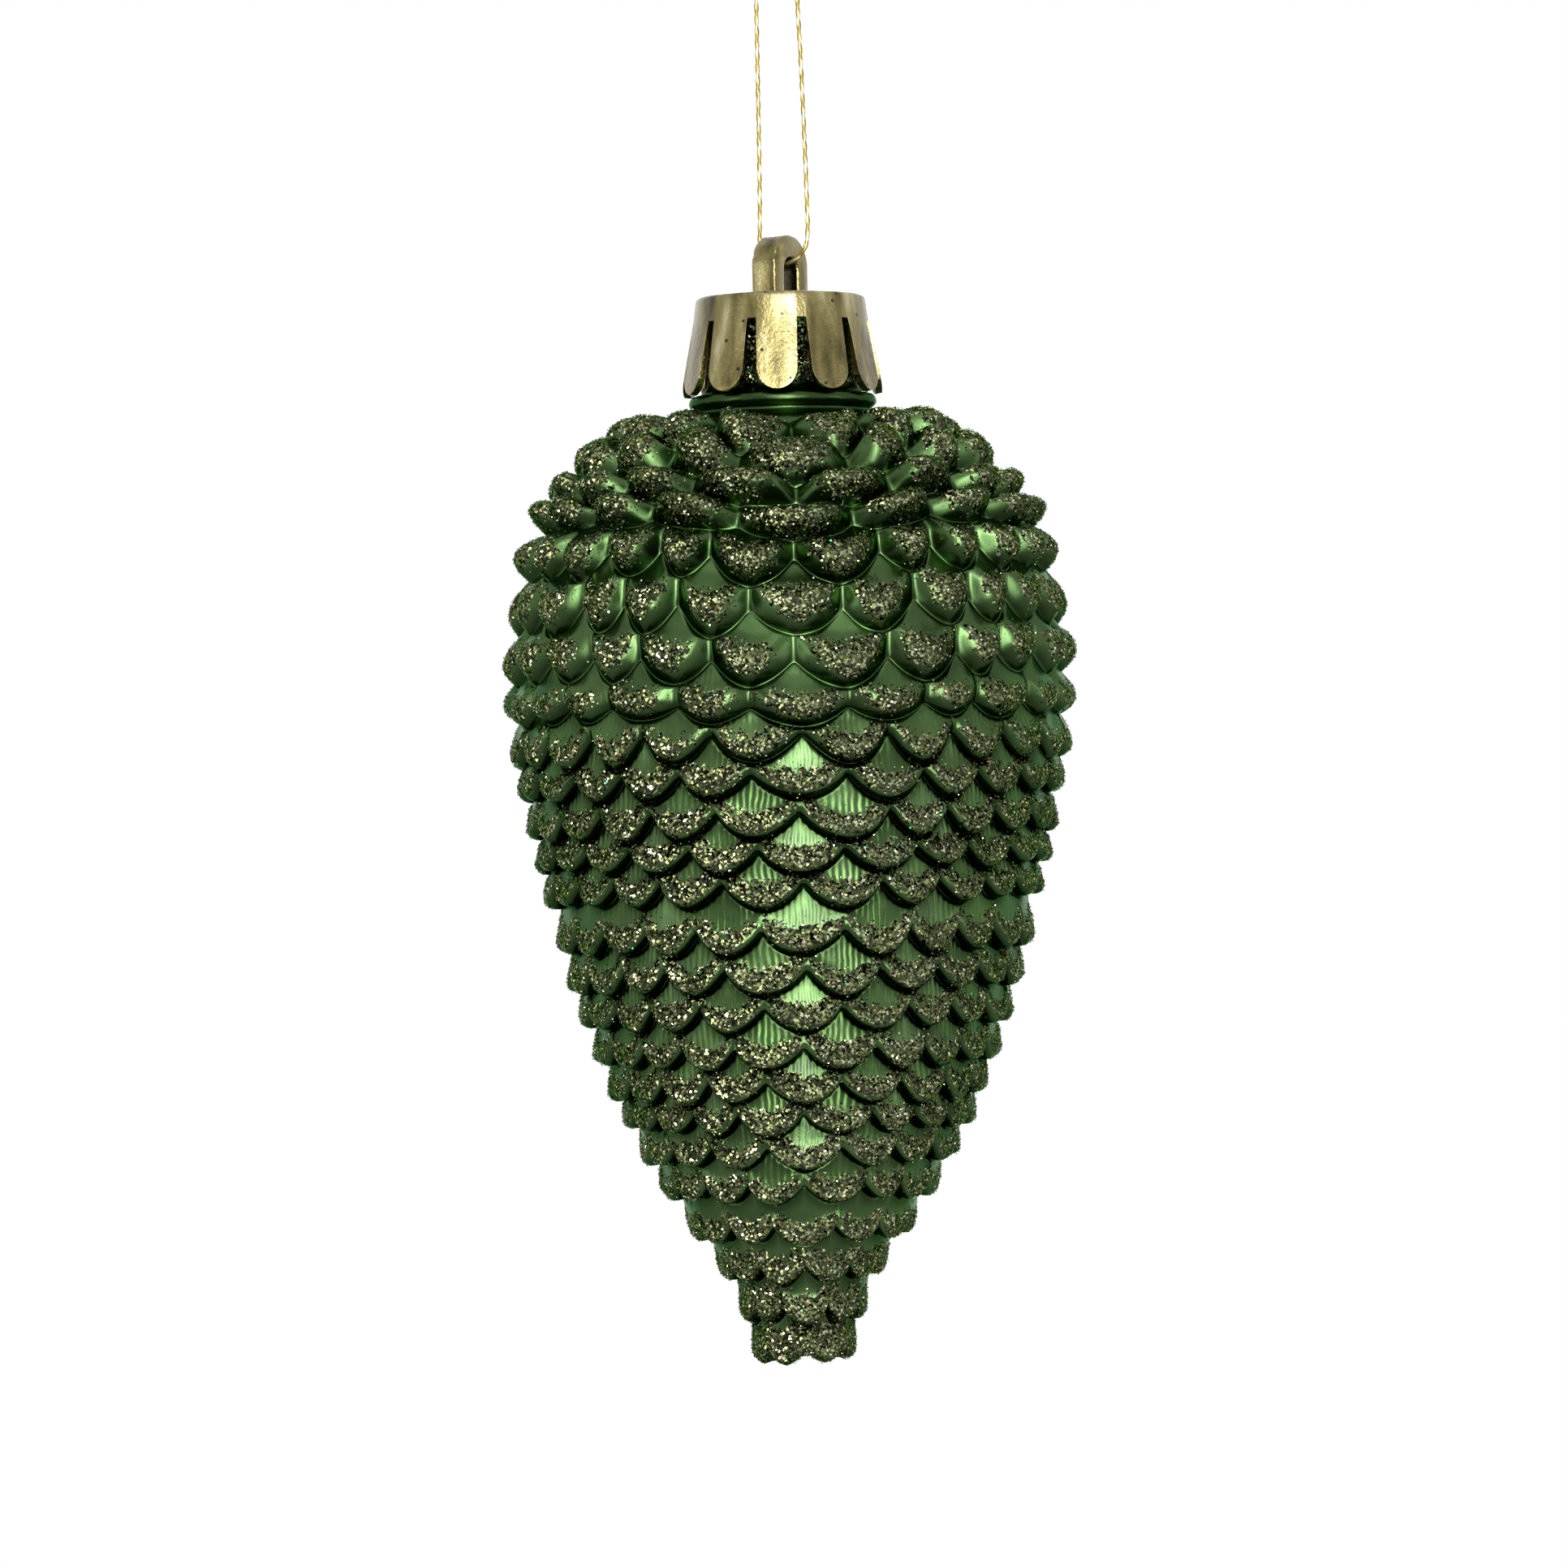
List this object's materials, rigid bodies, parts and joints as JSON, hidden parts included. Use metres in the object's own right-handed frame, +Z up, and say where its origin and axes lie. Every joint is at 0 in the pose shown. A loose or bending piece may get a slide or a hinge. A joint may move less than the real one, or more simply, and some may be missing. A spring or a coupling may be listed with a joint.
{
  "type": "pine cone ornament",
  "caption": "Hanging cone-shaped ornament with overlapping relief scales, a slotted crown cap with an eyelet, and a thread loop.",
  "frame": {"origin": "inside top of the thread loop, where a hook or twig carries the ornament", "axes": "+Z up along the hanging cone's axis, -Y towards the side that the picture shows"},
  "size_m": [0.0616, 0.0616, 0.1654],
  "materials": {
    "green_shell": "satin metallic dark green with glitter on the scale ends",
    "gold_cap": "pale gold metallised plastic",
    "gold_thread": "twisted metallic gold thread"
  },
  "bodies": {
    "thread_loop": {"hanging_thread": "gold_thread", "thread_knot": "gold_thread"},
    "cap": {"crown_cap": "gold_cap"},
    "cone": {"cone_shell": "green_shell"}
  },
  "joints": [
    {"name": "swing_on_thread", "type": "hinge", "parent": "thread_loop", "child": "cap", "pos_m": [0, 0, -0.048], "axis": [0.866, -0.5, 0], "range_deg": [-90, 90]},
    {"name": "cap_pull_off", "type": "slide", "parent": "cap", "child": "cone", "axis": [0, 0, -1], "range_m": [0, 0.014]}
  ]
}
